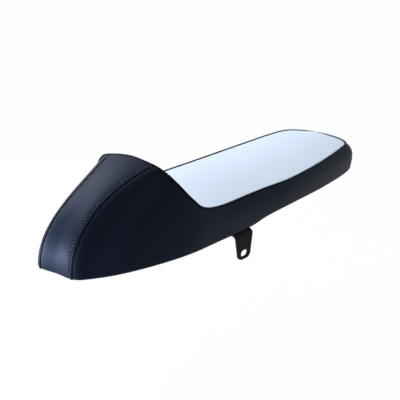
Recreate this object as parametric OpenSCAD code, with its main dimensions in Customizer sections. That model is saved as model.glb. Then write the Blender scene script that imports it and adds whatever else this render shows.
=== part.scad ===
// Moped sport seat: padded seat with a tail hump, sewn cover, moulded base and a slotted steel strap.
// X points forward, Y to the rider's left and Z up. The origin lies midway between the two ear slots.

/* [Seat] */
// Length of the covered seat, tail to nose
seat_length = 650; // [580:1:720]
// Widest covered width, at the hem
seat_width = 192; // [170:1:220]
// Height of the top seam above the hem at the middle of the pad
pad_height = 52; // [44:1:70]
// Rise of the top seam from the pad to the nose
nose_rise = 15; // [6:1:22]
// Rise of the hem from the tail to the nose
hem_rise = 18; // [8:1:22]
// Swell of the pad's middle above its seams
pad_crown = 5; // [2:0.5:9]
// Swell of the side walls beyond the seams
side_bulge = 4; // [2:0.5:6]

/* [Tail hump] */
// Length of the hump, tail to the foot of its front face
hump_length = 245; // [215:1:280]
// Height of the hump's crest above the hem
hump_height = 133; // [110:1:150]
// Width of the rear strip at the hem
strip_low_width = 67; // [58:1:76]
// Width of the rear strip at the crest
strip_top_width = 87; // [76:1:96]
// How far each edge of the rear strip draws in half way up
strip_waist = 5; // [1:0.5:6]

/* [Cover] */
// Thickness of the cover sheet
cover_thickness = 1.4; // [1:0.1:2]
// Width of the hem turned under the base
hem_width = 15; // [11:0.5:16]
// Diameter of the piping round the seat panel
piping_diameter = 4; // [3.6:0.2:5.6]
// Width of the flat piping beside the rear strip
flat_piping_width = 5.2; // [4:0.2:6.4]
// Height of the flat piping beside the rear strip
flat_piping_height = 3; // [2:0.2:3.2]
// Length of a staple's crown
staple_length = 11; // [8:0.5:13]
// Thickness of a staple's wire
staple_wire = 0.7; // [0.5:0.1:1]
// Number of staples along each side
staple_count = 24; // [12:1:30]

/* [Base] */
// Wall thickness of the moulded base
base_wall = 3; // [2.4:0.1:4]
// Width of the base's flat flange
flange_width = 18; // [17:0.5:22]
// Depth of the recess under the base
recess_depth = 8.4; // [7:0.2:10]
// Thickness of the stiffening ribs
rib_thickness = 2.4; // [1.8:0.1:3]
// Distance between the two long ribs
rib_spacing = 104; // [96:1:116]
// Depth of the stiffening ribs below the floor
rib_depth = 6; // [4:0.2:6.8]

/* [Strap] */
// Distance from the tail to the middle of the ear slots
slot_x = 291.5; // [285:0.5:296]
// Depth of the slots below the hem
slot_drop = 34.2; // [31:0.1:40]
// Length of an ear slot
slot_length = 17; // [13:0.5:19]
// Width of an ear slot, for an M10 bolt
slot_width = 10.5; // [8.4:0.1:11]
// Thickness of the strap's steel
strap_steel = 3; // [2.5:0.5:4]
// Width of the strap under the base
strap_width = 42; // [38:1:48]
// Width of an ear at its lower end
ear_end_width = 31; // [29:0.5:34]
// Radius of an ear's lower corners
ear_corner_radius = 10; // [6:0.5:12]
// Distance between the ears' outer faces
ear_span = 197; // [194:0.5:226]
// Outer radius of the strap's bends
bend_radius = 8; // [7:0.5:10]

/* [Fasteners] */
// Thread diameter of the strap bolts
bolt_diameter = 8; // [6:1:8]
// Distance between the strap bolts
bolt_spacing = 56; // [48:1:70]
// Head diameter of the strap bolts
bolt_head = 20; // [18:0.5:22]
// Width across the flats of the nuts
nut_flats = 13; // [12:0.5:14]
// Height of the nuts
nut_height = 6.5; // [5:0.5:7]
// Outer diameter of the washers
washer_diameter = 16; // [15:0.5:20]
// Thickness of the washers
washer_thickness = 1.6; // [1:0.1:2]
// Shank diameter of the tongue rivets
rivet_diameter = 5; // [4:0.2:6]

/* [Tongue and buffers] */
// Distance from the front cross rib forward to the tongue's rivets
tongue_lead = 40.8; // [32:0.2:50]
// Width of the front tongue
tongue_width = 36; // [28:1:42]
// Length of the tongue in front of its step
tongue_reach = 44; // [30:1:50]
// Thickness of the tongue's steel
tongue_steel = 3; // [2:0.5:4]
// Distance from the tail to the rear buffers
rear_buffer_x = 74; // [68:1:80]
// Distance from the front cross rib back to the front buffers
front_buffer_lag = 34.2; // [24:0.2:42]
// Distance between the rear buffers
rear_buffer_spacing = 66; // [56:1:72]
// Distance between the front buffers
front_buffer_spacing = 52; // [46:1:64]
// Diameter of a rubber buffer
buffer_diameter = 22; // [18:1:26]
// Depth of the buffers' feet below the hem at the tail
buffer_drop = 4; // [2:0.5:8]

/* [Hidden] */

fit = 0.2;                       // clearance between a sheet and what it covers
hole_play = 0.6;                 // clearance round a bolt
steps = 3;                       // facets between two stations
cut = 120;                       // length of a cut that goes right through
side_rows = [0.16, 0.3, 0.44, 0.58, 0.7, 0.82];   // rows up the side wall, from hem at 0 to seam at 1
panel_rows = [0, 0.1, 0.32, 0.61, 0.9];           // rows over the seat panel, from edge at 0 to middle at 1
half = seat_width / 2;
pad_length = seat_length - hump_length;
flange_low = cover_thickness + fit;
flange_top = flange_low + base_wall;
floor_low = flange_low + recess_depth;
floor_top = floor_low + base_wall;
foam_depth = cover_thickness + 2 * fit;
panel_setback = 0.5 * piping_diameter + 1.5 * fit;
flat_setback = 0.5 * flat_piping_width + fit;
hem_roll = 3.2;                  // height at which the cover begins to turn under
strap_top = -0.4;
strap_low = strap_top - strap_steel;
shank_hole = bolt_diameter + hole_play;
head_height = 4.4;
head_sink = 0.6;                 // how far the bolt heads lie below the floor's top
boss_wall = 4;
slot_z = -slot_drop;

// Places along the hump and along the pad as shares of their length, and heights as shares of their rise
function tail(share) = share * hump_length;
function pad(share) = hump_length + share * pad_length;
function wide(share) = share * half;
function high(share) = pad_height + share * (hump_height - pad_height);
function rise(share) = pad_height + share * nose_rise;
function hem(share) = share * hem_rise;

// Stations round one half of the seat, from the tail's centre line to the nose's centre line.
// Each holds the top seam's x, half-width and height, the hem's x, half-width and height,
// and how far the side wall swells near the hem and near the seam, in shares of the bulge.
stations = [
    [tail(0.612), 0, high(1), 0, 0, 0, 0.56, 0.91],
    [tail(0.614), strip_top_width / 2, high(0.932), 0, strip_low_width / 2, 0, 0.56, 0.91],
    [tail(0.631), wide(0.656), high(0.815), tail(0.078), wide(0.521), hem(-0.05), -1.48, -4.5],
    [tail(0.669), wide(0.818), high(0.605), tail(0.229), wide(0.729), hem(-0.03), 0.72, -0.48],
    [tail(0.735), wide(0.924), high(0.333), tail(0.457), wide(0.906), 0, 0, 1],
    [tail(0.833), wide(0.953), high(0.099), tail(0.702), wide(1), 0, 0.75, 1],
    [tail(1), wide(0.948), high(0.004), tail(0.98), wide(1), 0, 1, 1],
    [pad(0.165), wide(0.938), rise(0), pad(0.165), wide(0.99), hem(0.02), 1, 1],
    [pad(0.274), wide(0.94), rise(0), pad(0.277), wide(0.99), hem(0.33), 1, 1],
    [pad(0.432), wide(0.955), rise(-0.02), pad(0.442), wide(0.995), hem(0.53), 1, 1],
    [pad(0.654), wide(0.901), rise(0.2), pad(0.664), wide(0.943), hem(0.58), 1, 1.25],
    [pad(0.847), wide(0.802), rise(0.52), pad(0.852), wide(0.865), hem(0.68), 1, 1.5],
    [pad(0.931), wide(0.724), rise(0.67), pad(0.956), wide(0.781), hem(0.83), 1, 2.25],
    [pad(0.962), wide(0.573), rise(0.8), pad(0.99), wide(0.604), hem(0.94), 1, 2.25],
    [pad(0.972), wide(0.292), rise(0.93), pad(1), wide(0.302), hem(1), 1, 2],
    [pad(0.973), 0, rise(0.97), pad(1), 0, hem(1), 1, 2]
];
last = len(stations) - 1;
mirror_row = [1, -1, 1, 1, -1, 1, 1, 1];

function times(a, b) = [for (i = [0:len(a) - 1]) a[i] * b[i]];
function unit(v) = v / norm(v);

// A smooth curve through the stations; beyond either centre line it runs on as a mirror image
function station(i) =
    i < 0 ? times(stations[-i], mirror_row) :
    i > last ? times(stations[2 * last - i], mirror_row) : stations[i];
function curve(t) =
    let (i = min(floor(t), last - 1), f = t - i,
         a = station(i - 1), b = station(i), c = station(i + 1), d = station(i + 2))
    0.5 * (2 * b + (c - a) * f + (2 * a - 5 * b + 4 * c - d) * f * f + (3 * b - 3 * c + d - a) * f * f * f);
function slope(t) =
    let (i = min(floor(t), last - 1), f = t - i,
         a = station(i - 1), b = station(i), c = station(i + 1), d = station(i + 2))
    0.5 * ((c - a) + 2 * (2 * a - 5 * b + 4 * c - d) * f + 3 * (3 * b - 3 * c + d - a) * f * f);
function seam_point(t) = let (q = curve(t)) [q[0], q[1], q[2]];
function hem_point(t) = let (q = curve(t)) [q[3], q[4], q[5]];
function hem_outward(t) = let (s = slope(t)) unit([-s[4], s[3], 0]);

// Height of the hem above the tail's hem at a given x
hem_line = concat([[-50, 0]], [for (k = [steps:steps * (last - 1)]) let (q = curve(k / steps)) [q[3], q[5]]],
                  [[seat_length + 50, hem_rise]]);
function hem_z(x) = lookup(x, hem_line);

// The strip swells straight back, and the side panels square to their hem
function swell_way(t) =
    let (w = min(1, max(0, t - 1))) unit(hem_outward(max(t, 1)) * w + [-1, 0, 0] * (1 - w));

// The side wall: a cubic curve from the hem at v = 0 to the top seam at v = 1
function side_controls(t) =
    let (q = curve(t), n = swell_way(t), h = q[2] - q[5],
         low = [q[3], q[4], q[5]], top = [q[0], q[1], q[2]],
         waist = strip_waist * 8 / 3 * max(0, 1 - abs(t - 1)),
         low_pull = n * q[6] * side_bulge + [0, 0, 0.51 * h],
         top_pull = [(q[3] - q[0]) / 2, q[4] - q[1] - waist, -0.2 * h] + n * q[7] * side_bulge)
    [low, low + low_pull, top + top_pull, top];
function side_point(t, v) =
    let (p = side_controls(t), w = 1 - v)
    p[0] * w * w * w + p[1] * 3 * v * w * w + p[2] * 3 * v * v * w + p[3] * v * v * v;
function side_normal(t, v) =
    let (e = 0.02, a = max(t - e, 0), b = min(t + e, last), c = max(v - e, 0), d = min(v + e, 1))
    unit(cross(side_point(t, d) - side_point(t, c), side_point(b, v) - side_point(a, v)));
function side_inner(t, v, depth) = side_point(t, v) - depth * side_normal(t, v);
// The value of v that lies a given distance below the top seam, or a given height above the hem
function below_seam(t, distance) = let (p = side_controls(t)) 1 - distance / (3 * norm(p[3] - p[2]));
function above_hem(t, height) = let (q = curve(t)) height / (1.53 * (q[2] - q[5]));

// The seat panel: the side view of the top seam carried straight across, with a soft crown.
// u runs from 0 at the seam to 1 on the centre line.
function middle_t(t) = t + 2.3 * max(0, 1 - t / 4) - 2.7 * max(0, (t - last + 4) / 4);
function top_point(t, u) =
    let (s = t + (middle_t(t) - t) * u * u, q = curve(s), d = slope(s), w = curve(t)[1] * (1 - u),
         up = unit([-d[2], 0, d[0] + 0.0001]), swell = pad_crown * (1 - (1 - u) * (1 - u)))
    [q[0], w, q[2]] + up * swell * min(1, max(0.3, (s - 3) / 3));
function top_normal(t, u) =
    let (e = 0.02, a = max(t - e, 0), b = min(t + e, last), c = max(u - e, 0), d = min(u + e, 0.98))
    unit(cross(top_point(b, u) - top_point(a, u), top_point(t, c) - top_point(t, d)));
function top_inner(t, u, depth) = top_point(t, u) - depth * top_normal(t, u);
// The value of u that lies a given distance from the seam, and the one at a share of the way on to the middle
function from_seam(t, distance) =
    lookup(distance, [for (u = [0, 0.03, 0.06, 0.2, 0.4, 0.6]) [norm(top_point(t, u) - top_point(t, 0)), u]]);
function panel_u(t, share) = let (edge = from_seam(t, panel_setback)) edge + (1 - edge) * share;

// Rings run once round the seat: right half from tail to nose, then the left half back
ring_size = 2 * steps * last;
function mirrored(p) = [p[0], -p[1], p[2]];
function flat_y(p, t) = t == 0 || t == last ? [p[0], 0, p[2]] : p;
function ring(half_points) =
    let (n = len(half_points) - 1)
    concat([for (p = half_points) mirrored(p)], [for (k = [n - 1:-1:1]) half_points[k]]);
function half_ts() = [for (k = [0:steps * last]) k / steps];
function side_ring(height_v, depth) =
    ring([for (t = half_ts()) flat_y(side_inner(t, height_v, depth), t)]);
function top_ring(share, depth) =
    ring([for (t = half_ts()) flat_y(top_inner(t, panel_u(t, share), depth), t)]);
function hem_ring(inset, height) =
    ring([for (t = half_ts())
        let (p = hem_point(t) - inset * hem_outward(t)) flat_y([p[0], p[1], hem_z(p[0]) + height], t)]);

// Triangles between two neighbouring rings
function wall_faces(a, b, n) =
    [for (k = [0:n - 1]) let (m = (k + 1) % n)
        each [[a * n + k, b * n + k, b * n + m], [a * n + k, b * n + m, a * n + m]]];
// Triangles that close a ring by joining each point to its mirror image
function cap_faces(a, n, flip) =
    let (q = n / 2,
         f = [for (k = [0:q - 1])
             let (i = k, j = k + 1, m = (n - k) % n, o = n - k - 1)
             each (k == 0 ? [[i, j, o]] : k == q - 1 ? [[i, j, m]] : [[i, j, o], [i, o, m]])])
    [for (g = f)
        flip ? [a * n + g[2], a * n + g[1], a * n + g[0]] : [a * n + g[0], a * n + g[1], a * n + g[2]]];

// A solid bounded by a stack of rings, from the middle of its underside to the middle of its top
module ring_solid(rings) {
    n = len(rings[0]);
    m = len(rings);
    polyhedron(points = [for (r = rings) each r],
               faces = concat(cap_faces(0, n, false), [for (i = [0:m - 2]) each wall_faces(i, i + 1, n)],
                              cap_faces(m - 1, n, true)), convexity = 8);
}

// A tube whose rings close on each other
module ring_tube(rings) {
    n = len(rings[0]);
    m = len(rings);
    polyhedron(points = [for (r = rings) each r],
               faces = [for (i = [0:m - 1]) each wall_faces(i, (i + 1) % m, n)], convexity = 8);
}

// A sheet between an outer and an inner grid of points
module sheet(outer, inner) {
    n = len(outer);
    m = len(outer[0]);
    s = n * m;
    polyhedron(
        points = concat([for (r = outer) each r], [for (r = inner) each r]),
        faces = concat(
            [for (i = [0:n - 2]) for (j = [0:m - 2])
                let (a = i * m + j, b = a + 1, c = a + m, d = c + 1)
                each [[a, b, d], [a, d, c], [s + a, s + d, s + b], [s + a, s + c, s + d]]],
            [for (j = [0:m - 2]) let (a = j, b = j + 1, c = (n - 1) * m + j, d = c + 1)
                each [[a, s + b, b], [a, s + a, s + b], [c, d, s + d], [c, s + d, s + c]]],
            [for (i = [0:n - 2]) let (a = i * m, b = a + m, c = a + m - 1, d = c + m)
                each [[a, b, s + b], [a, s + b, s + a], [c, s + d, d], [c, s + c, s + d]]]),
        convexity = 8);
}

module seat_frame() { translate([-slot_x, 0, -slot_z]) children(); }

// Foam

module foam_core() color("khaki") seat_frame()
    ring_solid(concat(
        [hem_ring(flange_width - 1.5 * fit, floor_top + 2 * fit),
         hem_ring(flange_width - 1.5 * fit, flange_top + fit),
         ring([for (t = half_ts()) let (p = side_inner(t, above_hem(t, flange_top + fit), foam_depth))
             flat_y([p[0], p[1], hem_z(p[0]) + flange_top + fit], t)])],
        [for (v = side_rows) side_ring(v, foam_depth)],
        [ring([for (t = half_ts()) flat_y(side_inner(t, below_seam(t, panel_setback), foam_depth), t)])],
        [for (share = panel_rows) top_ring(share, foam_depth)]));

// Cover

module seat_panel() color("aliceblue") seat_frame()
    ring_solid(concat(
        [for (k = [len(panel_rows) - 1:-1:0]) top_ring(panel_rows[k], cover_thickness)],
        [for (share = panel_rows) top_ring(share, 0)]));

// Beside the flat piping a column keeps its distance from the seam at every height.
// way is 1 on a side panel's edge, -1 on the strip's edge and 0 elsewhere.
function set_back(v, way) =
    1 + way * flat_setback * 0.1 / norm(side_point(1 + way * 0.1, v) - side_point(1, v));
function set_back_inner(t, v, depth, way) = side_inner(way == 0 ? t : set_back(v, way), v, depth);

// One column of the cover at station t, from the piping down to the hem's inner edge
function cover_column(t, depth, way = 0) =
    let (turn = depth > 0 ? depth : 0, low_t = way == 0 ? t : set_back(0, way))
    concat([set_back_inner(t, below_seam(t, panel_setback), depth, way)],
           [for (k = [len(side_rows) - 1:-1:0]) set_back_inner(t, side_rows[k], depth, way)],
           [set_back_inner(t, above_hem(t, hem_roll), depth, way)],
           [for (c = [[0.5 + turn, 0.8 + 0.7 * turn], [1.8 + turn / 2, turn], [hem_width, turn]])
               let (p = hem_point(low_t) - c[0] * hem_outward(low_t)) [p[0], p[1], hem_z(p[0]) + c[1]]]);

module side_panel() {
    ts = [for (k = [steps + 1:steps * last]) k / steps];
    function sheet_side(depth) = concat(
        [[for (p = cover_column(1, depth, 1)) mirrored(p)]],
        [for (t = ts) [for (p = cover_column(t, depth)) mirrored(flat_y(p, t))]]);
    sheet(sheet_side(0), sheet_side(cover_thickness));
}
module side_panel_right() color("#1d222c") seat_frame()
    translate([0, -fit / 4, 0]) side_panel();
module side_panel_left() color("#1d222c") seat_frame()
    mirror([0, 1, 0]) translate([0, -fit / 4, 0]) side_panel();

module rear_strip() {
    function strip_half(depth) = concat(
        [cover_column(1, depth, -1)],
        [for (k = [steps - 1:-1:0]) [for (p = cover_column(k / steps, depth)) flat_y(p, k / steps)]]);
    function across(depth) = let (h = strip_half(depth))
        concat([for (c = h) [for (p = c) mirrored(p)]], [for (i = [len(h) - 2:-1:0]) h[i]]);
    color("#2b3442") seat_frame() sheet(across(cover_thickness), across(0));
}

// Round piping along the whole top seam
module panel_piping() {
    sides = 8;
    radius = piping_diameter / 2;
    function place(t) =
        let (b = unit(top_normal(t, 0) + side_normal(t, 1)), e = 0.02,
             g = unit(seam_point(min(t + e, last)) - seam_point(max(t - e, 0))), c = cross(g, b))
        [seam_point(t) + 0.1 * radius * b, b, c];
    frames = [for (t = half_ts()) place(t)];
    color("#14171d") seat_frame()
        ring_tube([for (i = [sides - 1:-1:0]) let (a = 360 * i / sides)
            ring([for (k = [0:len(frames) - 1]) let (f = frames[k])
                flat_y(f[0] + radius * (cos(a) * f[1] + sin(a) * f[2]), k / steps)])]);
}

// Flat piping over the seam between the rear strip and a side panel
module tail_piping() {
    sides = 8;
    rows = 14;
    top_v = below_seam(1, panel_setback + 1.6);
    vs = [for (k = [0:rows]) top_v * k / rows];
    function lean(v) = let (n = side_normal(1, v), e = 0.02,
                            g = unit(side_point(1, min(v + e, 1)) - side_point(1, max(v - e, 0))))
                       [n, cross(g, n)];
    points = [for (v = vs) let (f = lean(v)) each [for (i = [0:sides - 1]) let (a = 360 * i / sides)
        mirrored(side_point(1, v) + flat_piping_height / 2 * cos(a) * f[0]
                 + flat_piping_width / 2 * sin(a) * f[1])]];
    polyhedron(points = points,
               faces = concat([[for (i = [0:sides - 1]) i]],
                              [for (r = [0:rows - 1]) for (i = [0:sides - 1])
                                  let (a = r * sides + i, b = r * sides + (i + 1) % sides)
                                  each [[a, a + sides, b + sides], [a, b + sides, b]]],
                              [[for (i = [sides - 1:-1:0]) rows * sides + i]]), convexity = 4);
}
module tail_piping_right() color("#1a1e26") seat_frame() tail_piping();
module tail_piping_left() color("#1a1e26") seat_frame() mirror([0, 1, 0]) tail_piping();

// Staples that hold the hem to the flange, clear of the strap
module hem_staples() {
    first_t = 0.5;
    last_t = last - 0.7;
    pitch = (last_t - first_t) / (staple_count - 1);
    color("silver") seat_frame()
        for (side = [-1, 1]) for (k = [0:staple_count - 1]) {
            t = first_t + k * pitch;
            p = hem_point(t) - 0.55 * hem_width * hem_outward(t);
            d = slope(t);
            tilt = atan2(hem_z(p[0] + 4) - hem_z(p[0] - 4), 8);
            clear = abs(p[0] - slot_x) > strap_width / 2 + staple_length;
            if (clear)
                translate([p[0], side * p[1], hem_z(p[0])])
                    rotate([0, -tilt * sign(d[3]), side * atan2(d[4], d[3])])
                        translate([-staple_length / 2, -staple_wire / 2, -staple_wire - fit / 2])
                            cube([staple_length, staple_wire, staple_wire]);
        }
}

// Moulded base

// A flat flange round a raised floor, following the hem line
module tray() {
    wall_inset = flange_width + base_wall;
    ring_solid([
        hem_ring(wall_inset, floor_low),
        hem_ring(wall_inset, flange_low),
        hem_ring(flange_edge, flange_low),
        hem_ring(flange_edge, flange_top),
        hem_ring(flange_width, flange_top),
        hem_ring(flange_width, floor_top)]);
}

// Long ribs under the floor, cut to the hem line, and cross ribs between them
module ribs() {
    xs = [for (k = [4 * steps:steps * (last - 4)]) curve(k / steps)[3]];
    n = len(xs) - 1;
    for (side = [-1, 1])
        translate([0, side * rib_spacing / 2, 0]) rotate([90, 0, 0])
            linear_extrude(rib_thickness, center = true)
                polygon(concat([for (x = xs) [x, hem_z(x) + floor_low - rib_depth]],
                               [for (i = [n:-1:0]) [xs[i], hem_z(xs[i]) + floor_low + 1]]));
    for (x = cross_ribs)
        translate([x - rib_thickness / 2, -rib_spacing / 2, hem_z(x) + floor_low - cross_rib_depth])
            cube([rib_thickness, rib_spacing, cross_rib_depth + 1]);
}

flange_edge = cover_thickness + 3 * fit;
cross_rib_depth = rib_depth - 0.6;
front_rib_x = pad(0.64);
cross_ribs = [tail(0.5), tail(0.86), pad(0.22), pad(0.4), front_rib_x];
tongue_x = front_rib_x + tongue_lead;
front_buffer_x = front_rib_x - front_buffer_lag;
rivet_boss = 1.2;                // height of the rivet bosses below the floor
bolt_places = [for (side = [-1, 1]) [slot_x, side * bolt_spacing / 2]];
tongue_top = hem_z(tongue_x) + floor_low - rivet_boss;
rivet_places = [for (side = [-1, 1]) [tongue_x, side * tongue_width / 4]];
rear_places = [for (side = [-1, 1]) [rear_buffer_x, side * rear_buffer_spacing / 2]];
front_places = [for (side = [-1, 1]) [front_buffer_x, side * front_buffer_spacing / 2]];
buffer_neck = 9;
buffer_chamfer = 4;
buffer_foot = -buffer_drop;

module base_pan() {
    color("#26282b") seat_frame() difference() {
        union() {
            tray();
            ribs();
            for (p = bolt_places)
                translate([p[0], p[1], strap_top])
                    cylinder(d = bolt_head + 2 * boss_wall, h = hem_z(p[0]) + floor_low + 1 - strap_top,
                             $fn = 48);
            for (p = rivet_places)
                translate([p[0], p[1], tongue_top])
                    cylinder(d = rivet_diameter + 2 * boss_wall, h = hem_z(p[0]) + floor_top - 1 - tongue_top,
                             $fn = 36);
        }
        for (p = bolt_places) {
            translate([p[0], p[1], strap_top - 1]) cylinder(d = shank_hole, h = cut, $fn = 32);
            translate([p[0], p[1], hem_z(p[0]) + floor_top - head_height - head_sink])
                cylinder(d = bolt_head + hole_play, h = cut, $fn = 48);
        }
        for (p = rivet_places)
            translate([p[0], p[1], 0]) cylinder(d = rivet_diameter + fit, h = cut, $fn = 24);
        for (p = concat(rear_places, front_places))
            translate([p[0], p[1], -cut / 2]) cylinder(d = buffer_neck + 2 * fit, h = cut, $fn = 32);
    }
}

// Mounting strap

// Outline of the strap seen from the side: an ear that narrows from the strap's width to a rounded lower edge
slot_margin = 4;                 // least steel below a slot
module ear_side() {
    low_z = slot_z - slot_width / 2 - slot_margin;
    corner_x = ear_end_width / 2 - ear_corner_radius;
    corner_z = low_z + ear_corner_radius;
    translate([slot_x, 0]) {
        for (side = [-1, 1])
            translate([side * corner_x, corner_z]) circle(r = ear_corner_radius, $fn = 64);
        polygon([
            [-corner_x, low_z],
            [corner_x, low_z],
            [corner_x, corner_z],
            [ear_end_width / 2, corner_z],
            [strap_width / 2, strap_low],
            [strap_width / 2, 1],
            [-strap_width / 2, 1],
            [-strap_width / 2, strap_low],
            [-ear_end_width / 2, corner_z],
            [-corner_x, corner_z]]);
    }
}

// Section of the strap seen along X: flat under the base, bent down at both sides
module strap_section() {
    outer = ear_span / 2;
    inner_radius = bend_radius - strap_steel;
    translate([-outer + bend_radius, strap_low]) square([ear_span - 2 * bend_radius, strap_steel]);
    for (side = [0, 1]) mirror([side, 0]) {
        translate([outer - bend_radius, strap_top - bend_radius]) intersection() {
            difference() {
                circle(r = bend_radius, $fn = 64);
                circle(r = inner_radius, $fn = 64);
            }
            square(bend_radius + 1);
        }
        translate([outer - strap_steel, 2 * slot_z])
            square([strap_steel, strap_top - bend_radius - 2 * slot_z]);
    }
}

module mount_strap() {
    color("#20232a") seat_frame() difference() {
        intersection() {
            translate([slot_x - strap_width, 0, 0])
                rotate([90, 0, 90]) linear_extrude(2 * strap_width) strap_section();
            rotate([90, 0, 0]) linear_extrude(2 * cut, center = true) ear_side();
        }
        for (end = [-1, 1])
            translate([slot_x + end * (slot_length - slot_width) / 2, 0, slot_z])
                rotate([90, 0, 0]) cylinder(d = slot_width, h = 2 * cut, center = true, $fn = 48);
        translate([slot_x, 0, slot_z]) cube([slot_length - slot_width, 2 * cut, slot_width], center = true);
        for (p = bolt_places)
            translate([p[0], p[1], strap_low - 1]) cylinder(d = shank_hole, h = strap_steel + 2, $fn = 32);
    }
}

// Strap fasteners

nut_low = strap_low - washer_thickness - nut_height;
bolt_tip = nut_low - 1.4;        // the thread stands a little out of the nut

module strap_bolts() {
    color("silver") seat_frame()
        for (p = bolt_places) translate([p[0], p[1], 0]) {
            seat_z = hem_z(p[0]) + floor_top - head_height - head_sink;
            translate([0, 0, bolt_tip]) cylinder(d = bolt_diameter, h = seat_z - bolt_tip + 0.5, $fn = 32);
            translate([0, 0, seat_z]) rotate_extrude($fn = 48)
                polygon([[0, 0], [bolt_head / 2, 0], [bolt_head / 2, 1], [bolt_head * 0.44, 2.4],
                         [bolt_head * 0.33, 3.5], [bolt_head * 0.17, head_height - 0.2], [0, head_height]]);
        }
}

module strap_washers() {
    color("silver") seat_frame()
        for (p = bolt_places) translate([p[0], p[1], strap_low - washer_thickness]) difference() {
            cylinder(d = washer_diameter, h = washer_thickness, $fn = 48);
            translate([0, 0, -1]) cylinder(d = bolt_diameter + 2 * fit, h = washer_thickness + 2, $fn = 32);
        }
}

module strap_nuts() {
    color("silver") seat_frame()
        for (p = bolt_places) translate([p[0], p[1], nut_low]) difference() {
            cylinder(d = nut_flats / cos(30), h = nut_height, $fn = 6);
            translate([0, 0, -1]) cylinder(d = bolt_diameter + fit / 2, h = nut_height + 2, $fn = 32);
        }
}

// Front tongue: a cranked strip under the nose that slips beneath a cross tube

module front_tongue() {
    drop = 7;
    x0 = tongue_x - 12;
    x1 = tongue_x + 14;
    x2 = x1 + drop;
    x3 = x2 + tongue_reach;
    x4 = x3 - tongue_width / 2;
    bend = 0.4 * tongue_steel;
    z = tongue_top;
    color("#2a2d33") seat_frame() difference() {
        intersection() {
            rotate([90, 0, 0]) linear_extrude(tongue_width, center = true)
                polygon([[x0, z], [x0, z - tongue_steel], [x1 - bend, z - tongue_steel],
                         [x2 - bend, z - drop - tongue_steel], [x3, z - drop - tongue_steel],
                         [x3, z - drop], [x2, z - drop], [x1, z]]);
            union() {
                translate([x0 - 1, -tongue_width / 2, z - cut / 2]) cube([x4 - x0 + 1, tongue_width, cut]);
                translate([x4, 0, z - cut / 2]) cylinder(d = tongue_width, h = cut, $fn = 64);
            }
        }
        for (p = rivet_places)
            translate([p[0], p[1], z - tongue_steel - 1])
                cylinder(d = rivet_diameter + fit, h = tongue_steel + 2, $fn = 24);
    }
}

module tongue_rivets() {
    low = tongue_top - tongue_steel;
    head = 1.6;
    color("silver") seat_frame()
        for (p = rivet_places) translate([p[0], p[1], 0]) {
            top = hem_z(p[0]) + floor_top - 2 * fit;
            translate([0, 0, low - head / 2])
                cylinder(d = rivet_diameter, h = top - low + head / 2, $fn = 24);
            translate([0, 0, low - head])
                cylinder(d1 = 1.4 * rivet_diameter, d2 = 1.9 * rivet_diameter, h = head, $fn = 32);
        }
}

// Rubber buffers pushed into the base

module buffer(place) {
    floor_z = hem_z(place[0]) + floor_low;
    translate([place[0], place[1], 0]) {
        translate([0, 0, buffer_foot])
            cylinder(d1 = buffer_diameter - buffer_chamfer, d2 = buffer_diameter, h = buffer_chamfer,
                     $fn = 48);
        translate([0, 0, buffer_foot + buffer_chamfer])
            cylinder(d = buffer_diameter, h = floor_z - fit - buffer_foot - buffer_chamfer, $fn = 48);
        translate([0, 0, floor_z - 1]) cylinder(d = buffer_neck, h = base_wall + 1 - fit, $fn = 32);
    }
}

module rear_buffers() color("#17181a") seat_frame() for (p = rear_places) buffer(p);
module front_buffers() color("#17181a") seat_frame() for (p = front_places) buffer(p);

base_pan();
foam_core();
seat_panel();
side_panel_right();
side_panel_left();
rear_strip();
panel_piping();
tail_piping_right();
tail_piping_left();
hem_staples();
mount_strap();
strap_bolts();
strap_washers();
strap_nuts();
front_tongue();
tongue_rivets();
rear_buffers();
front_buffers();
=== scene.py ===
import math
import bmesh
import bpy
import numpy as np
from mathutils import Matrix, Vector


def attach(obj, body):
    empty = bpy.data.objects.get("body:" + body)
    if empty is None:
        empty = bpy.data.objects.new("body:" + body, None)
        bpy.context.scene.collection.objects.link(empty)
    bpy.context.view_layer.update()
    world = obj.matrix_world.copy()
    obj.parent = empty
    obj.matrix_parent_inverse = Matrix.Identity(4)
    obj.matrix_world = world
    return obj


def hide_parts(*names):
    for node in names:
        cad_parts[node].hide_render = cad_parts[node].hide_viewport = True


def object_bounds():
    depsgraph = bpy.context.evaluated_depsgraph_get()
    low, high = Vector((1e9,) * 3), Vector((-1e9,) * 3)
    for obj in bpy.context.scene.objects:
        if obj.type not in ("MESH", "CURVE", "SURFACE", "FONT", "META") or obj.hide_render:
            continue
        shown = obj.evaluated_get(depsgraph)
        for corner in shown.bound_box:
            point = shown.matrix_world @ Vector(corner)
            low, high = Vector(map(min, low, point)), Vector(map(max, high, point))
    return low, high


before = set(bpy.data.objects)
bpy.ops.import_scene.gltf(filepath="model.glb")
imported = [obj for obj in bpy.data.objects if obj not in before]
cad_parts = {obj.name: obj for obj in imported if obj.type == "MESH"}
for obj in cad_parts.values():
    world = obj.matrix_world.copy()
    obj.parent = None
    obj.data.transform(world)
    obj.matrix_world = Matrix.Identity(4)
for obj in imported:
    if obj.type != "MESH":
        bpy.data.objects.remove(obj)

# Moped sport seat: a sewn vinyl cover over moulded foam, with a tail hump, piping and a steel strap.
# Shapes are worked out in millimetres from the tail's hem, then moved into the frame in metres.
cadBox = [[float(c) for c in corner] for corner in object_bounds()]
print("frame loaded:", len(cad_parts), "nodes")

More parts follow.
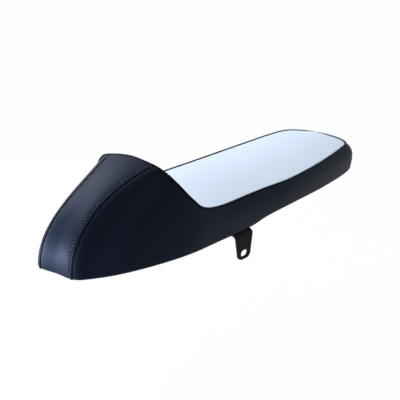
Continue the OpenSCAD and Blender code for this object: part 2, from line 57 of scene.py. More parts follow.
# The covered shape, all in mm
shape = {
    "length": 650.0,
    "width": 192.0,
    "humpLength": 245.0,
    "humpHeight": 133.0,
    "padHeight": 52.0,
    "noseRise": 15.0,
    "hemRise": 18.0,
    "bulge": 4.0,
    "crown": 5.0,
    "stripLow": 67.0,
    "stripTop": 87.0,
    "stripWaist": 5.0,
    "slotX": 291.5,
    "slotDrop": 34.2,
    "pullUp": 0.51,       # how far the wall leaves the hem upward, as a share of its height
    "pullDown": 0.2,      # and how far it leaves the seam downward
    "crestReach": 2.3,    # stations by which the top's rows lean forward at the crest
    "noseReach": 2.7,     # and back at the nose
    "reachStations": 4,
}


def tail(share):
    return share * shape["humpLength"]


def pad(share):
    return shape["humpLength"] + share * (shape["length"] - shape["humpLength"])


def wide(share):
    return share * shape["width"] / 2


def high(share):
    return shape["padHeight"] + share * (shape["humpHeight"] - shape["padHeight"])


def rise(share):
    return shape["padHeight"] + share * shape["noseRise"]


def hem(share):
    return share * shape["hemRise"]


# Stations round one half of the seat, from the tail's centre line to the nose's centre line:
# top seam x, half-width and height, hem x, half-width and height, swell near the hem and near the seam
stations = np.array([
    [tail(0.612), 0, high(1), 0, 0, 0, 0.56, 0.91],
    [tail(0.614), shape["stripTop"] / 2, high(0.932), 0, shape["stripLow"] / 2, 0, 0.56, 0.91],
    [tail(0.631), wide(0.656), high(0.815), tail(0.078), wide(0.521), hem(-0.05), -1.48, -4.5],
    [tail(0.669), wide(0.818), high(0.605), tail(0.229), wide(0.729), hem(-0.03), 0.72, -0.48],
    [tail(0.735), wide(0.924), high(0.333), tail(0.457), wide(0.906), 0, 0, 1],
    [tail(0.833), wide(0.953), high(0.099), tail(0.702), wide(1), 0, 0.75, 1],
    [tail(1), wide(0.948), high(0.004), tail(0.98), wide(1), 0, 1, 1],
    [pad(0.165), wide(0.938), rise(0), pad(0.165), wide(0.99), hem(0.02), 1, 1],
    [pad(0.274), wide(0.94), rise(0), pad(0.277), wide(0.99), hem(0.33), 1, 1],
    [pad(0.432), wide(0.955), rise(-0.02), pad(0.442), wide(0.995), hem(0.53), 1, 1],
    [pad(0.654), wide(0.901), rise(0.2), pad(0.664), wide(0.943), hem(0.58), 1, 1.25],
    [pad(0.847), wide(0.802), rise(0.52), pad(0.852), wide(0.865), hem(0.68), 1, 1.5],
    [pad(0.931), wide(0.724), rise(0.67), pad(0.956), wide(0.781), hem(0.83), 1, 2.25],
    [pad(0.962), wide(0.573), rise(0.8), pad(0.99), wide(0.604), hem(0.94), 1, 2.25],
    [pad(0.972), wide(0.292), rise(0.93), pad(1), wide(0.302), hem(1), 1, 2],
    [pad(0.973), 0, rise(0.97), pad(1), 0, hem(1), 1, 2],
])
last = len(stations) - 1
mirrorRow = np.array([1, -1, 1, 1, -1, 1, 1, 1])
padded = np.vstack([stations[[1]] * mirrorRow, stations, stations[[-2]] * mirrorRow])


def curve(t):
    # Cubic through four stations a, b, c, d at a fraction f past b:
    # (2b + (c - a) f + (2a - 5b + 4c - d) f^2 + (3b - 3c + d - a) f^3) / 2. Also returns its slope.
    t = np.asarray(t, float)
    i = np.clip(np.floor(t).astype(int), 0, last - 1)
    f = (t - i)[..., None]
    a, b, c, d = padded[i], padded[i + 1], padded[i + 2], padded[i + 3]
    two, three = 2 * a - 5 * b + 4 * c - d, 3 * b - 3 * c + d - a
    place = 0.5 * (2 * b + (c - a) * f + two * f**2 + three * f**3)
    return place, 0.5 * ((c - a) + 2 * two * f + 3 * three * f**2)


def unit(v):
    return v / np.maximum(np.linalg.norm(v, axis=-1, keepdims=True), 1e-9)


def hemOutward(t):
    # The hem's own direction turned a quarter to the outside, level
    s = curve(t)[1]
    return unit(np.stack([-s[..., 4], s[..., 3], 0 * s[..., 3]], -1))


hemTs = np.linspace(1, last - 1, 200)
hemXs, hemZs = curve(hemTs)[0][:, 3], curve(hemTs)[0][:, 5]


def hemHeight(x):
    return np.interp(x, hemXs, hemZs)


def swellWay(t):
    # The strip swells straight back, and the side panels square to their hem
    w = np.clip(np.asarray(t, float) - 1, 0, 1)[..., None]
    return unit(hemOutward(np.maximum(t, 1)) * w + np.array([-1.0, 0, 0]) * (1 - w))


def sideControls(t):
    # Four control points of the wall at station t: the hem, pulled up and out, and the seam, pulled down
    # and back
    q = curve(t)[0]
    n, h = swellWay(t), q[..., 2] - q[..., 5]
    waist = shape["stripWaist"] * 8 / 3 * np.maximum(0, 1 - np.abs(np.asarray(t, float) - 1))
    low, top = q[..., 3:6], q[..., 0:3]
    up = np.array([0.0, 0, 1])
    lowPull = n * (q[..., 6:7] * shape["bulge"]) + up * (shape["pullUp"] * h)[..., None]
    back = np.stack([(q[..., 3] - q[..., 0]) / 2, q[..., 4] - q[..., 1] - waist, -shape["pullDown"] * h], -1)
    return low, low + lowPull, top + back + n * (q[..., 7:8] * shape["bulge"]), top


def sidePoint(t, v):
    # Cubic curve (1-v)^3 P0 + 3v(1-v)^2 P1 + 3v^2(1-v) P2 + v^3 P3, from the hem at 0 to the seam at 1
    p0, p1, p2, p3 = sideControls(t)
    v = np.asarray(v, float)[..., None]
    return (1 - v)**3 * p0 + 3 * v * (1 - v)**2 * p1 + 3 * v**2 * (1 - v) * p2 + v**3 * p3


def sideNormal(t, v):
    # Cross product of the surface's two directions, taken over a small step
    e = 0.01
    across = sidePoint(t, np.minimum(v + e, 1)) - sidePoint(t, np.maximum(v - e, 0))
    along = sidePoint(np.minimum(t + e, last), v) - sidePoint(np.maximum(t - e, 0), v)
    return unit(np.cross(across, along))


def belowSeam(t, distance):
    p = sideControls(t)
    return 1 - distance / (3 * np.linalg.norm(p[3] - p[2], axis=-1))


def aboveHem(t, height):
    q = curve(t)[0]
    return height / (3 * shape["pullUp"] * (q[..., 2] - q[..., 5]))


def topPoint(t, u):
    # The side view of the seam carried straight across, from the seam at u = 0 to the centre line at u = 1,
    # with a crown of crown * (1 - (1 - u)^2) along its normal
    span = shape["reachStations"]
    middle = t + shape["crestReach"] * np.maximum(0, 1 - t / span)
    middle = middle - shape["noseReach"] * np.maximum(0, (t - last + span) / span)
    s = t + (middle - t) * u * u
    q, d = curve(s)
    w = curve(t)[0][..., 1] * (1 - u)
    up = unit(np.stack([-d[..., 2], 0 * w, d[..., 0] + 1e-4], -1))
    swell = shape["crown"] * (1 - (1 - u)**2) * np.clip((s - 3) / 3, 0.3, 1)
    return np.stack([q[..., 0], w, q[..., 2]], -1) + up * swell[..., None]


def topNormal(t, u):
    e = 0.01
    along = topPoint(np.minimum(t + e, last), u) - topPoint(np.maximum(t - e, 0), u)
    across = topPoint(t, np.maximum(u - e, 0)) - topPoint(t, np.minimum(u + e, 0.985))
    return unit(np.cross(along, across))


def waves(a, b, seed, terms=6):
    # A sum of sines of random pitch and phase over two coordinates: a slow, smooth unevenness from -1 to 1
    rng = np.random.default_rng(seed)
    total = 0 * a
    for k in range(terms):
        fa, fb, phase = rng.uniform(0.5, 1.5), rng.uniform(-1.5, 1.5), rng.uniform(0, 2 * math.pi)
        total = total + np.sin(a * fa * (1 + k * 0.4) + b * fb * (1 + k * 0.3) + phase) / (1 + k * 0.5)
    return total / 3


def flip(points):
    return points * np.array([1, -1, 1])


def toFrame(points):
    return (points - np.array([shape["slotX"], 0, -shape["slotDrop"]])) / 1000


def gridFaces(rows, cols, closeRows=False, closeCols=False):
    # Quads between neighbouring grid points; a closed direction joins its last line to its first
    i = np.arange(rows if closeRows else rows - 1)[:, None]
    j = np.arange(cols if closeCols else cols - 1)[None, :]
    k, m = (i + 1) % rows, (j + 1) % cols
    return np.stack([i * cols + j, k * cols + j, k * cols + m, i * cols + m], -1).reshape(-1, 4)


def makeMesh(name, points, faces):
    mesh = bpy.data.meshes.new(name)
    flat = toFrame(points.reshape(-1, 3))
    mesh.vertices.add(len(flat))
    mesh.vertices.foreach_set("co", flat.ravel())
    mesh.loops.add(faces.size)
    mesh.loops.foreach_set("vertex_index", faces.ravel())
    mesh.polygons.add(len(faces))
    mesh.polygons.foreach_set("loop_start", np.arange(len(faces)) * faces.shape[1])
    mesh.update(calc_edges=True)
    mesh.validate()
    mesh.polygons.foreach_set("use_smooth", np.full(len(mesh.polygons), True))
    piece = bpy.data.objects.new(name, mesh)
    bpy.context.scene.collection.objects.link(piece)
    return piece


def weldAndFaceOut(piece, distance=0.00002):
    # Merges doubled points and turns every face outward, before any wall gets its thickness
    bm = bmesh.new()
    bm.from_mesh(piece.data)
    bmesh.ops.remove_doubles(bm, verts=bm.verts, dist=distance)
    bmesh.ops.recalc_face_normals(bm, faces=bm.faces)
    bm.to_mesh(piece.data)
    bm.free()


def closeEnds(piece):
    # Fills the open ends of tubes and turns every face outward
    bm = bmesh.new()
    bm.from_mesh(piece.data)
    bmesh.ops.holes_fill(bm, edges=bm.edges, sides=0)
    bmesh.ops.recalc_face_normals(bm, faces=bm.faces)
    bm.to_mesh(piece.data)
    bm.free()


def sheetWall(piece, thickness):
    wall = piece.modifiers.new("sheet", "SOLIDIFY")
    wall.thickness = thickness / 1000
    wall.offset = -1
    wall.use_even_offset = False


def addPiece(piece, node):
    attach(piece, "root")
    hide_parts(node)
    return piece


# Seat panel: pale vinyl pulled down into the groove beside its piping
panel = {"alongSteps": 420, "acrossSteps": 60, "thickness": 1.4, "edge": 1.1, "tuck": 1.1, "tuckWidth": 2.4,
         "unevenness": 0.25, "pucker": 0.12, "puckerPitch": 9.0, "puckerReach": 7.0, "evenReach": 14.0,
         "waveLength": 60.0, "waveWidth": 45.0, "rowPower": 1.6}


def seamLength(ts):
    p = curve(ts)[0][:, 0:3]
    return np.concatenate([[0], np.cumsum(np.linalg.norm(np.diff(p, axis=0), axis=1))])


def fromSeam(ts, distance):
    # The value of u that lies a given distance from the seam, read off a table of distances at each station
    us = np.linspace(0, 0.9, 400)**1.5
    t, u = np.meshgrid(ts, us, indexing="ij")
    away = np.linalg.norm(topPoint(t, u) - topPoint(t, 0 * u), axis=-1)
    k = np.maximum(np.argmax(away >= distance, axis=1), 1)
    row = np.arange(len(ts))
    below, above = away[row, k - 1], away[row, k]
    return us[k - 1] + (us[k] - us[k - 1]) * (distance - below) / np.maximum(above - below, 1e-9)


def panelHalf():
    ts = np.linspace(0, last, panel["alongSteps"])
    start = fromSeam(ts, panel["edge"])[:, None]
    u = start + (1 - start) * (np.linspace(0, 1, panel["acrossSteps"])**panel["rowPower"])[None, :]
    t = ts[:, None] + 0 * u
    p, n = topPoint(t, u), topNormal(t, np.minimum(u, 0.97))
    centred = (u >= 0.999) | (t <= 0) | (t >= last)
    n[..., 1] = np.where(centred, 0, n[..., 1])
    away = np.linalg.norm(p - curve(ts)[0][:, None, 0:3], axis=-1)
    dip = -panel["tuck"] * np.exp(-(away / panel["tuckWidth"])**2)
    run = seamLength(ts)[:, None]
    pucker = panel["pucker"] * np.sin(2 * math.pi * run / panel["puckerPitch"])
    pucker = pucker * np.exp(-away / panel["puckerReach"])
    inner = 1 - np.exp(-(away / panel["evenReach"])**2)
    uneven = waves(p[..., 0] / panel["waveLength"], np.abs(p[..., 1]) / panel["waveWidth"], 3)
    uneven = panel["unevenness"] * uneven * inner
    p = p + unit(n) * (dip + pucker + uneven)[..., None]
    p[..., 1] = np.where(centred, 0, p[..., 1])
    return p


def makeSeatPanel():
    half = panelHalf()
    faces = gridFaces(*half.shape[:2])
    count = half.shape[0] * half.shape[1]
    points = np.concatenate([flip(half).reshape(-1, 3), half.reshape(-1, 3)])
    piece = makeMesh("seatPanelCover", points, np.concatenate([faces, faces[:, ::-1] + count]))
    weldAndFaceOut(piece)
    sheetWall(piece, panel["thickness"])
    return addPiece(piece, "seat_panel")


# Side panels and rear strip: black vinyl from the top seam down and round under the base's flange
side = {"alongSteps": 460, "downSteps": 60, "thickness": 1.4, "edge": 1.1, "tuck": 1.1, "tuckWidth": 2.4,
        "cornerTuck": 1.2, "cornerStation": 2, "cornerSpread": 0.7, "cornerReach": 14.0, "rollHeight": 4.0,
        "rollDepth": 2.8, "hemWidth": 15.0, "bendRate": 2.2, "flatFrom": 0.4545, "flatShare": 0.5455,
        "unevenness": 0.3, "evenReach": 16.0, "waveLength": 55.0, "waveHeight": 30.0, "waveWidth": 60.0,
        "gather": 0.5, "gatherPitch": 13.0, "gatherWave": 40.0, "rowPower": 1.35}

# Where the rows of the side panel and the strip run, in stations: close together beside the tail seam
tailRows = {"count": 60, "panelStart": 1.012, "panelSpan": 0.49, "panelPower": 1.4, "openStart": 1.52,
            "stripStart": 0.988, "stripPower": 1.3}

# The flat piping lies in a groove between the strip and each side panel, with a row of topstitching
# beside it on the strip. The seam drifts inward towards the hem, by a share of a station.
tailSeam = {"drift": 0.11, "grooveDepth": 1.7, "grooveWidth": 2.9, "width": 4.2, "height": 0.9, "rows": 150,
            "sides": 20, "stitchLine": 4.3, "stitchSink": 0.3, "stitchPitch": 5.0, "stitchLength": 3.4,
            "threadRadius": 0.38, "sinkWidth": 0.9, "firstStitch": 6.0, "lastGap": 5.0, "proud": 0.15,
            "arch": 0.35, "bendSteps": 41, "bendRings": 18}


def seamDrift(t, v):
    # Where station t lies at height v once the seam at station 1 has drifted; the surface stays the same
    return t - tailSeam["drift"] * (1 - np.clip(v, 0, 1)) * np.maximum(0, 1 - np.abs(t - 1))


def turnedHem(t, steps=9):
    # From the roll's height above the hem round a quarter bend, then level and inward under the flange
    turn = np.linspace(0, 1, steps)[None, :]
    blend = np.minimum(turn * side["bendRate"], 1)
    angle = blend * math.pi / 2
    inset = side["rollDepth"] * (1 - np.cos(angle))
    level = np.maximum(turn - side["flatFrom"], 0) / side["flatShare"]
    inset = inset + level * (side["hemWidth"] - side["rollDepth"])
    height = side["rollHeight"] * (1 - np.sin(angle))
    tt = t[:, None] + 0 * turn
    start = sidePoint(tt, aboveHem(tt, side["rollHeight"]))
    base = curve(tt)[0][..., 3:6]
    p = start + (base - start) * blend[..., None] - hemOutward(tt) * inset[..., None]
    p[..., 2] = hemHeight(p[..., 0]) * blend + (start[..., 2] - side["rollHeight"]) * (1 - blend) + height
    return p


def coverColumns(ts, seed):
    # Rows of points down the wall at each station, then round the hem
    vTop = belowSeam(ts, side["edge"])[:, None]
    vLow = aboveHem(ts, side["rollHeight"])[:, None]
    share = np.linspace(0, 1, side["downSteps"])[None, :]**side["rowPower"]
    v = vTop + (vLow - vTop) * share
    t = seamDrift(ts[:, None], v)
    p, n = sidePoint(t, v), sideNormal(t, v)
    top = curve(ts)[0][:, None, 0:3]
    away = np.linalg.norm(p - top, axis=-1)
    dip = -side["tuck"] * np.exp(-(away / side["tuckWidth"])**2)
    corner = np.exp(-((ts[:, None] - side["cornerStation"]) / side["cornerSpread"])**2)
    dip = dip - side["cornerTuck"] * corner * np.exp(-(away / side["cornerReach"])**2)
    middle = (1 - np.exp(-(away / side["evenReach"])**2)) * (1 - share**6)
    slant = p[..., 2] / side["waveHeight"] + p[..., 1] / side["waveWidth"]
    uneven = side["unevenness"] * waves(p[..., 0] / side["waveLength"], slant, seed) * middle
    p = p + n * (dip + uneven)[..., None]
    under = turnedHem(seamDrift(ts, 0))
    hemSteps = np.linalg.norm(np.diff(curve(ts)[0][:, 3:6], axis=0), axis=1)
    run = np.concatenate([[0], np.cumsum(hemSteps)])[:, None]
    inward = np.linspace(0, 1, under.shape[1])[None, :]
    shift = 2 * waves(run / side["gatherWave"], 0 * run, 5)
    ripple = side["gather"] * np.sin(2 * math.pi * run / side["gatherPitch"] + shift)
    under[..., 2] -= np.clip(inward - 0.45, 0, 1) * (0.5 + 0.5 * np.sign(ripple) * np.abs(ripple))
    return np.concatenate([p, under[:, 1:]], axis=1)


def seamLine(v):
    # Points and outward normals of the seam between the strip and the side panel
    t = seamDrift(1 + 0 * v, v)
    return sidePoint(t, v), sideNormal(t, v)


def grooved(points, way):
    # Sinks the surface beside the seam by depth * exp(-(distance / width)^2), and on the strip also along
    # the stitch line
    seam, normal = seamLine(np.linspace(0, 1, 300))
    gaps = np.linalg.norm(points[:, :, None] - seam[None, None], axis=-1)
    nearest = np.argmin(gaps, axis=-1)
    away = np.take_along_axis(gaps, nearest[..., None], -1)[..., 0]
    fall = tailSeam["grooveDepth"] * np.exp(-(away / tailSeam["grooveWidth"])**2)
    if way < 0:
        fromLine = (away - tailSeam["stitchLine"]) / tailSeam["sinkWidth"]
        fall = fall + tailSeam["stitchSink"] * np.exp(-fromLine**2)
    return points - normal[nearest] * fall[..., None]


def makeSidePanel(name, node, mirrored):
    closeRows = np.linspace(0, 1, tailRows["count"])**tailRows["panelPower"]
    nearTail = tailRows["panelStart"] + tailRows["panelSpan"] * closeRows
    ts = np.concatenate([nearTail, np.linspace(tailRows["openStart"], last, side["alongSteps"])])
    p = coverColumns(ts, 21)
    p[:len(nearTail)] = grooved(p[:len(nearTail)], 1)
    p[-1, :, 1] = 0
    p = p if mirrored else flip(p)
    faces = gridFaces(*p.shape[:2])
    piece = makeMesh(name, p, faces if mirrored else faces[:, ::-1])
    weldAndFaceOut(piece)
    sheetWall(piece, side["thickness"])
    return addPiece(piece, node)


def makeRearStrip():
    ts = tailRows["stripStart"] * (1 - np.linspace(0, 1, tailRows["count"])**tailRows["stripPower"])
    half = grooved(coverColumns(ts, 31), -1)
    half[-1, :, 1] = 0
    p = np.concatenate([flip(half), half[-2::-1]])
    piece = makeMesh("rearStripCover", p, gridFaces(*p.shape[:2]))
    weldAndFaceOut(piece)
    sheetWall(piece, side["thickness"])
    return addPiece(piece, "rear_strip")


def makeStitches():
    # Each stitch is a thread of radius r * sqrt(1 - s^4) from s = -1 to 1, arched so that its ends dive in
    v = np.linspace(0, 1, 600)
    toStrip = np.linalg.norm(sidePoint(0 * v + 0.95, v) - sidePoint(0 * v + 1, v), axis=-1) / 0.05
    t = seamDrift(1 + 0 * v, v) - tailSeam["stitchLine"] / toStrip
    line = sidePoint(t, v)
    run = np.concatenate([[0], np.cumsum(np.linalg.norm(np.diff(line, axis=0), axis=1))])
    stops = np.arange(tailSeam["firstStitch"], run[-1] - tailSeam["lastGap"], tailSeam["stitchPitch"])
    at = np.interp(stops, run, v)
    tAt = np.interp(at, v, t)
    centre, normal = sidePoint(tAt, at), sideNormal(tAt, at)
    forward = unit(sidePoint(tAt, at + 0.004) - sidePoint(tAt, at - 0.004))
    across = np.cross(forward, normal)
    s, a = np.linspace(-1, 1, 7), np.linspace(0, 2 * math.pi, 8, endpoint=False)
    radius = tailSeam["threadRadius"] * np.sqrt(np.maximum(1 - s**4, 0.02))
    lift = tailSeam["proud"] - tailSeam["stitchSink"] - tailSeam["arch"] * s**2
    along = s * tailSeam["stitchLength"] / 2
    ring = (along[None, :, None, None] * forward[:, None, None]
            + lift[None, :, None, None] * normal[:, None, None]
            + (radius[:, None] * np.cos(a))[None, ..., None] * normal[:, None, None]
            + (radius[:, None] * np.sin(a))[None, ..., None] * across[:, None, None])
    p = centre[:, None, None] + ring
    faces = gridFaces(len(s), len(a), closeCols=True)
    count = len(s) * len(a)
    oneSide = (faces[None] + (np.arange(len(p)) * count)[:, None, None]).reshape(-1, 4)
    points = np.concatenate([flip(p).reshape(-1, 3), p.reshape(-1, 3)])
    piece = makeMesh("stripStitches", points, np.concatenate([oneSide, oneSide[:, ::-1] + len(p) * count]))
    closeEnds(piece)
    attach(piece, "root")
    return piece


# Panel piping: a vinyl-covered cord stitched into the whole top seam
piping = {"diameter": 3.8, "rings": 700, "sides": 16, "lift": -0.6, "crestDip": 1.2, "crestSpread": 2.6,
          "noseLift": 1.4, "noseSpread": 2, "stitchPitch": 4.5, "stitchDepth": 0.06}


def tube(centres, outward, forward, radiusOut, radiusAcross, sides):
    # Points centre + radiusOut cos(a) outward + radiusAcross sin(a) across, with a once round the section
    across = unit(np.cross(forward, outward))
    a = np.linspace(0, 2 * math.pi, sides, endpoint=False)
    out = np.cos(a)[None, :, None] * outward[:, None] * np.asarray(radiusOut)[:, None, None]
    aside = np.sin(a)[None, :, None] * across[:, None] * np.asarray(radiusAcross)[:, None, None]
    return centres[:, None] + out + aside


def makePanelPiping():
    ts = np.linspace(0, last, piping["rings"] // 2 + 1)
    zero, one = 0 * ts, 0 * ts + 1
    outward = unit(topNormal(ts, zero) + sideNormal(ts, one))
    outward[[0, -1], 1] = 0
    outward = unit(outward)
    lift = piping["lift"] - piping["crestDip"] * np.exp(-(ts / piping["crestSpread"])**2)
    lift = lift + piping["noseLift"] * np.exp(-((last - ts) / piping["noseSpread"])**2)
    centres = curve(ts)[0][:, 0:3] + lift[:, None] * outward
    pinch = piping["stitchDepth"] * np.cos(2 * math.pi * seamLength(ts) / piping["stitchPitch"])
    centres = np.concatenate([flip(centres), centres[-2:0:-1]])
    outward = np.concatenate([flip(outward), outward[-2:0:-1]])
    radius = piping["diameter"] / 2 + np.concatenate([pinch, pinch[-2:0:-1]])
    forward = unit(np.roll(centres, -1, 0) - np.roll(centres, 1, 0))
    p = tube(centres, outward, forward, radius, radius, piping["sides"])
    piece = makeMesh("panelPipingCord", p, gridFaces(*p.shape[:2], closeRows=True, closeCols=True))
    weldAndFaceOut(piece)
    return addPiece(piece, "panel_piping")


def makeTailPiping(name, node, mirrored):
    # An oval tube down the seam from the top piping and round the hem's bend, its ends drawn in and closed
    one = np.array([1.0])
    lowV, topV = float(aboveHem(one, side["rollHeight"])[0]), float(belowSeam(one, 1.0)[0])
    v = np.linspace(lowV, topV, tailSeam["rows"])
    wall, wallOut = seamLine(v)
    steps, rings = tailSeam["bendSteps"], tailSeam["bendRings"]
    bend = turnedHem(seamDrift(one, 0), steps)[0][1:rings + 1]
    turn = np.linspace(1, rings, rings)[:, None] / (steps - 1) * side["bendRate"] * math.pi / 2
    bendOut = np.cos(turn) * wallOut[[0]] - np.sin(turn) * np.array([[0, 0, 1.0]])
    centres, outward = np.concatenate([bend[::-1], wall]), np.concatenate([bendOut[::-1], wallOut])
    forward = unit(np.gradient(centres, axis=0))
    ends = np.minimum(np.arange(len(centres)), len(centres) - 1 - np.arange(len(centres)))
    shrink = np.sqrt(np.clip((ends + 1) / 5, 0, 1))
    p = tube(centres, outward, forward, tailSeam["height"] * shrink, tailSeam["width"] / 2 * shrink,
             tailSeam["sides"])
    p = p if mirrored else flip(p)
    piece = makeMesh(name, p, gridFaces(*p.shape[:2], closeCols=True))
    closeEnds(piece)
    return addPiece(piece, node)


seatPanel = makeSeatPanel()
print("seat panel made")
sideRight = makeSidePanel("sidePanelRightCover", "side_panel_right", False)
sideLeft = makeSidePanel("sidePanelLeftCover", "side_panel_left", True)
rearStrip = makeRearStrip()
print("side panels and rear strip made")
panelPiping = makePanelPiping()
tailRight = makeTailPiping("tailPipingRightCord", "tail_piping_right", False)
tailLeft = makeTailPiping("tailPipingLeftCord", "tail_piping_left", True)
stitches = makeStitches()
print("piping and stitches made")


# Materials
def toLinear(hexColour):
    # sRGB hex to linear: c / 12.92 below 0.04045, otherwise ((c + 0.055) / 1.055)^2.4
    c = [int(hexColour[i:i + 2], 16) / 255 for i in (1, 3, 5)]
    return [x / 12.92 if x <= 0.04045 else ((x + 0.055) / 1.055)**2.4 for x in c] + [1.0]


def addNode(material, kind, settings=None, inputs=None, links=None):
    # One node with its settings, its unlinked input values and its links from other nodes' outputs
    new = material.node_tree.nodes.new(kind)
    for key, value in (settings or {}).items():
        setattr(new, key, value)
    for key, value in (inputs or {}).items():
        new.inputs[key].default_value = value
    for key, (source, output) in (links or {}).items():
        material.node_tree.links.new(source.outputs[output], new.inputs[key])
    return new


def newMaterial(name):
    material = bpy.data.materials.new(name)
    material.use_nodes = True
    material.node_tree.nodes.clear()
    return material


def finishMaterial(material, shader):
    addNode(material, "ShaderNodeOutputMaterial", links={"Surface": (shader, 0)})
    return material


# How each vinyl looks: colour, gloss and a pressed grain whose pebbles are about 1.3 mm across
vinyls = {
    "paleVinylPressedGrain": {"colour": "#d7e1ea", "colourTwo": "#dbe4ed", "roughness": 0.46, "specular": 0.15,
                              "specularTint": "#ffffff", "grain": 1.3, "height": 0.02},
    "blackVinylPressedGrain": {"colour": "#181d27", "colourTwo": "#1b212c", "roughness": 0.42, "specular": 0.06,
                               "specularTint": "#9cb8f0", "grain": 1.3, "height": 0.05},
    "blackPipingVinyl": {"colour": "#090b10", "colourTwo": "#0d1016", "roughness": 0.4, "specular": 0.06,
                         "specularTint": "#9cb8f0", "grain": 1.0, "height": 0.03},
}


def vinylMaterial(name):
    # PVC-coated cloth, calendered over a grain roller: soft gloss broken up by shallow pebbles
    look = vinyls[name]
    m = newMaterial(name)
    place = addNode(m, "ShaderNodeTexCoord")
    grain = addNode(m, "ShaderNodeTexVoronoi", {"feature": "SMOOTH_F1"},
                    {"Scale": 1000 / look["grain"], "Randomness": 1.0, "Smoothness": 0.6},
                    {"Vector": (place, "Object")})
    slow = addNode(m, "ShaderNodeTexNoise", inputs={"Scale": 14.0, "Detail": 3.0, "Roughness": 0.55},
                   links={"Vector": (place, "Object")})
    tint = addNode(m, "ShaderNodeMix", {"data_type": "RGBA"}, links={0: (slow, "Fac")})
    tint.inputs[6].default_value = toLinear(look["colour"])
    tint.inputs[7].default_value = toLinear(look["colourTwo"])
    gloss = addNode(m, "ShaderNodeMapRange",
                    inputs={"To Min": look["roughness"] - 0.04, "To Max": look["roughness"] + 0.05},
                    links={"Value": (slow, "Fac")})
    bump = addNode(m, "ShaderNodeBump", inputs={"Strength": 0.5, "Distance": look["height"] / 1000},
                   links={"Height": (grain, "Distance")})
    shader = addNode(m, "ShaderNodeBsdfPrincipled",
                     inputs={"Specular IOR Level": look["specular"], "IOR": 1.5,
                             "Specular Tint": toLinear(look["specularTint"])},
                     links={"Base Color": (tint, 2), "Roughness": (gloss, 0), "Normal": (bump, 0)})
    return finishMaterial(m, shader)


# Hard and hidden parts: colour, roughness, metallic, and the size and depth in mm of their surface texture.
# Powder coat is satin with a faint orange peel, and zinc plate is a dull silver with soft reflections.
# Moulded polypropylene is a fine matt black, moulded foam an open matt cream and moulded rubber dead matt.
# Bonded nylon thread has a slight gloss of its own.
finishes = {
    "powderCoatedSteel": {"colour": "#090b10", "roughness": 0.5, "metallic": 0.0, "size": 0.9, "height": 0.02,
                          "specular": 0.06},
    "zincPlatedSteel": {"colour": "#b9bcbd", "roughness": 0.32, "metallic": 1.0, "size": 2.5, "height": 0.004},
    "mouldedPolypropylene": {"colour": "#1e2023", "roughness": 0.55, "metallic": 0.0, "size": 0.7,
                             "height": 0.03},
    "mouldedFoam": {"colour": "#cbbf93", "roughness": 0.9, "metallic": 0.0, "size": 1.6, "height": 0.25},
    "bondedNylonThread": {"colour": "#5b6272", "roughness": 0.45, "metallic": 0.0, "size": 0.5, "height": 0.03},
    "mouldedRubber": {"colour": "#16171a", "roughness": 0.62, "metallic": 0.0, "size": 0.6, "height": 0.03},
}


def hardMaterial(name):
    # One noise at the finish's own grain size, for a small change of gloss and a faint bump
    look = finishes[name]
    m = newMaterial(name)
    place = addNode(m, "ShaderNodeTexCoord")
    fine = addNode(m, "ShaderNodeTexNoise",
                   inputs={"Scale": 1000 / look["size"], "Detail": 3.0, "Roughness": 0.6},
                   links={"Vector": (place, "Object")})
    slow = addNode(m, "ShaderNodeTexNoise", inputs={"Scale": 40.0, "Detail": 2.0},
                   links={"Vector": (place, "Object")})
    gloss = addNode(m, "ShaderNodeMapRange",
                    inputs={"To Min": look["roughness"] - 0.06, "To Max": look["roughness"] + 0.06},
                    links={"Value": (slow, "Fac")})
    bump = addNode(m, "ShaderNodeBump", inputs={"Strength": 0.6, "Distance": look["height"] / 1000},
                   links={"Height": (fine, "Fac")})
    shader = addNode(m, "ShaderNodeBsdfPrincipled",
                     inputs={"Base Color": toLinear(look["colour"]), "Metallic": look["metallic"], "IOR": 1.5,
                             "Specular IOR Level": look.get("specular", 0.5)},
                     links={"Roughness": (gloss, 0), "Normal": (bump, 0)})
    return finishMaterial(m, shader)


paleVinyl = vinylMaterial("paleVinylPressedGrain")
blackVinyl = vinylMaterial("blackVinylPressedGrain")
pipingVinyl = vinylMaterial("blackPipingVinyl")
paint = hardMaterial("powderCoatedSteel")
zinc = hardMaterial("zincPlatedSteel")
plastic = hardMaterial("mouldedPolypropylene")
foam = hardMaterial("mouldedFoam")
rubber = hardMaterial("mouldedRubber")
thread = hardMaterial("bondedNylonThread")

for piece, material in [(seatPanel, paleVinyl), (sideRight, blackVinyl), (sideLeft, blackVinyl),
                        (rearStrip, blackVinyl), (panelPiping, pipingVinyl), (tailRight, blackVinyl),
                        (tailLeft, blackVinyl), (stitches, thread)]:
    piece.data.materials.clear()
    piece.data.materials.append(material)

nodeMaterials = {
    "base_pan": plastic, "foam_core": foam, "mount_strap": paint, "front_tongue": paint,
    "strap_bolts": zinc, "strap_washers": zinc, "strap_nuts": zinc, "tongue_rivets": zinc, "hem_staples": zinc,
    "rear_buffers": rubber, "front_buffers": rubber,
}
for node, material in nodeMaterials.items():
    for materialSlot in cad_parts[node].material_slots:
        materialSlot.material = material
print("materials made")

# Stage: a pale floor below the held seat, soft boxes and a world that is lighter on one side
stage = {"floorDrop": 0.17, "floorSize": 6.0, "floorColour": "#f4f6f9", "whiteShare": 0.97,
         "skyColour": "#eaf1fc", "lightSide": (0.87, 0.5, 0.0), "skyDark": 0.12, "skyLight": 0.62}
low = cadBox[0][2]
floorMesh = bpy.data.meshes.new("floor")
edge = stage["floorSize"]
floorMesh.from_pydata([(-edge, -edge, low - stage["floorDrop"]), (edge, -edge, low - stage["floorDrop"]),
                       (edge, edge, low - stage["floorDrop"]), (-edge, edge, low - stage["floorDrop"])],
                      [], [(0, 1, 2, 3)])
floor = bpy.data.objects.new("floor", floorMesh)
bpy.context.scene.collection.objects.link(floor)


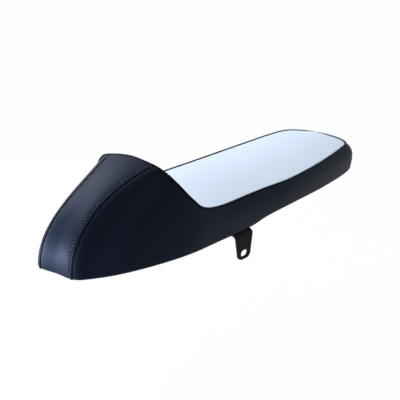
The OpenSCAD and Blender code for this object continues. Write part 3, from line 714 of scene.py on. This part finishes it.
def seenRays(material):
    # 1 for rays from the camera and for reflected and transmitted rays, 0 for the light that falls on things
    path = addNode(material, "ShaderNodeLightPath")
    shiny = addNode(material, "ShaderNodeMath", {"operation": "ADD"},
                    links={0: (path, "Is Glossy Ray"), 1: (path, "Is Transmission Ray")})
    return addNode(material, "ShaderNodeMath", {"operation": "ADD", "use_clamp": True},
                   links={0: (path, "Is Camera Ray"), 1: (shiny, 0)})


def floorMaterial():
    # Matt white paper: it takes the shadow, and reads as plain white to the camera and in reflections
    m = newMaterial("mattWhitePaper")
    paper = addNode(m, "ShaderNodeBsdfDiffuse", inputs={"Color": toLinear(stage["floorColour"])})
    glow = addNode(m, "ShaderNodeEmission", inputs={"Color": (1, 1, 1, 1), "Strength": 1.0})
    share = addNode(m, "ShaderNodeMath", {"operation": "MULTIPLY"}, {1: stage["whiteShare"]},
                    {0: (seenRays(m), 0)})
    mixed = addNode(m, "ShaderNodeMixShader", links={0: (share, 0), 1: (paper, 0), 2: (glow, 0)})
    return finishMaterial(m, mixed)


floorMesh.materials.append(floorMaterial())

world = bpy.data.worlds.new("studio")
bpy.context.scene.world = world
world.use_nodes = True
world.node_tree.nodes.clear()
# The light of the sky grows evenly with the dot product of its direction and the lighter side's direction
place = addNode(world, "ShaderNodeTexCoord")
slope = addNode(world, "ShaderNodeVectorMath", {"operation": "DOT_PRODUCT"}, {1: stage["lightSide"]},
                {0: (place, "Generated")})
strength = addNode(world, "ShaderNodeMapRange",
                   inputs={"From Min": -1.0, "From Max": 1.0, "To Min": stage["skyDark"],
                           "To Max": stage["skyLight"]},
                   links={"Value": (slope, "Value")})
sky = addNode(world, "ShaderNodeBackground", inputs={"Color": toLinear(stage["skyColour"])},
              links={"Strength": (strength, "Result")})
white = addNode(world, "ShaderNodeBackground", inputs={"Color": (1, 1, 1, 1), "Strength": 1.0})
mixedSky = addNode(world, "ShaderNodeMixShader", links={0: (seenRays(world), 0), 1: (sky, 0), 2: (white, 0)})
addNode(world, "ShaderNodeOutputWorld", links={"Surface": (mixedSky, 0)})

# Soft boxes: place, the point they face, size and power
softBoxes = {
    "overhead": {"at": (0.85, 0.0, 1.35), "to": (0.02, 0.0, 0.08), "size": (0.9, 0.7), "watts": 3.6,
                 "colour": "#ffffff"},
    "rearHigh": {"at": (-0.17, 0.98, 1.14), "to": (-0.2, 0.0, 0.14), "size": (0.8, 0.6), "watts": 19.0,
                 "colour": "#e9f1ff"},
    "rearLow": {"at": (-1.07, 0.71, 0.06), "to": (-0.29, 0.0, 0.055), "size": (1.05, 0.34), "watts": 42.0,
                "colour": "#dfe9ff"},
}
for name, box in softBoxes.items():
    lamp = bpy.data.lights.new(name, "AREA")
    lamp.shape = "RECTANGLE"
    lamp.size, lamp.size_y = box["size"]
    lamp.energy = box["watts"]
    lamp.color = toLinear(box["colour"])[:3]
    holder = bpy.data.objects.new(name, lamp)
    bpy.context.scene.collection.objects.link(holder)
    holder.location = box["at"]
    aim = np.array(box["to"]) - np.array(box["at"])
    yaw = math.atan2(aim[1], aim[0])
    pitch = math.atan2(np.hypot(aim[0], aim[1]), -aim[2])
    holder.rotation_euler = (pitch, 0, yaw - math.pi / 2)
print("stage and lights made")

# Camera: behind the tail on the seat's right, as the photograph was taken
view = {"at": (-1.0875, -0.906, 0.5392), "yaw": 39.445, "down": 18.57, "lens": 86.4, "sensor": 36.0}
camera = bpy.data.cameras.new("camera")
camera.lens = view["lens"]
camera.sensor_width = view["sensor"]
cameraObject = bpy.data.objects.new("camera", camera)
bpy.context.scene.collection.objects.link(cameraObject)
cameraObject.location = view["at"]
cameraObject.rotation_euler = (math.radians(90 - view["down"]), 0, math.radians(view["yaw"] - 90))
bpy.context.scene.camera = cameraObject
bpy.context.scene.view_settings.view_transform = "Standard"
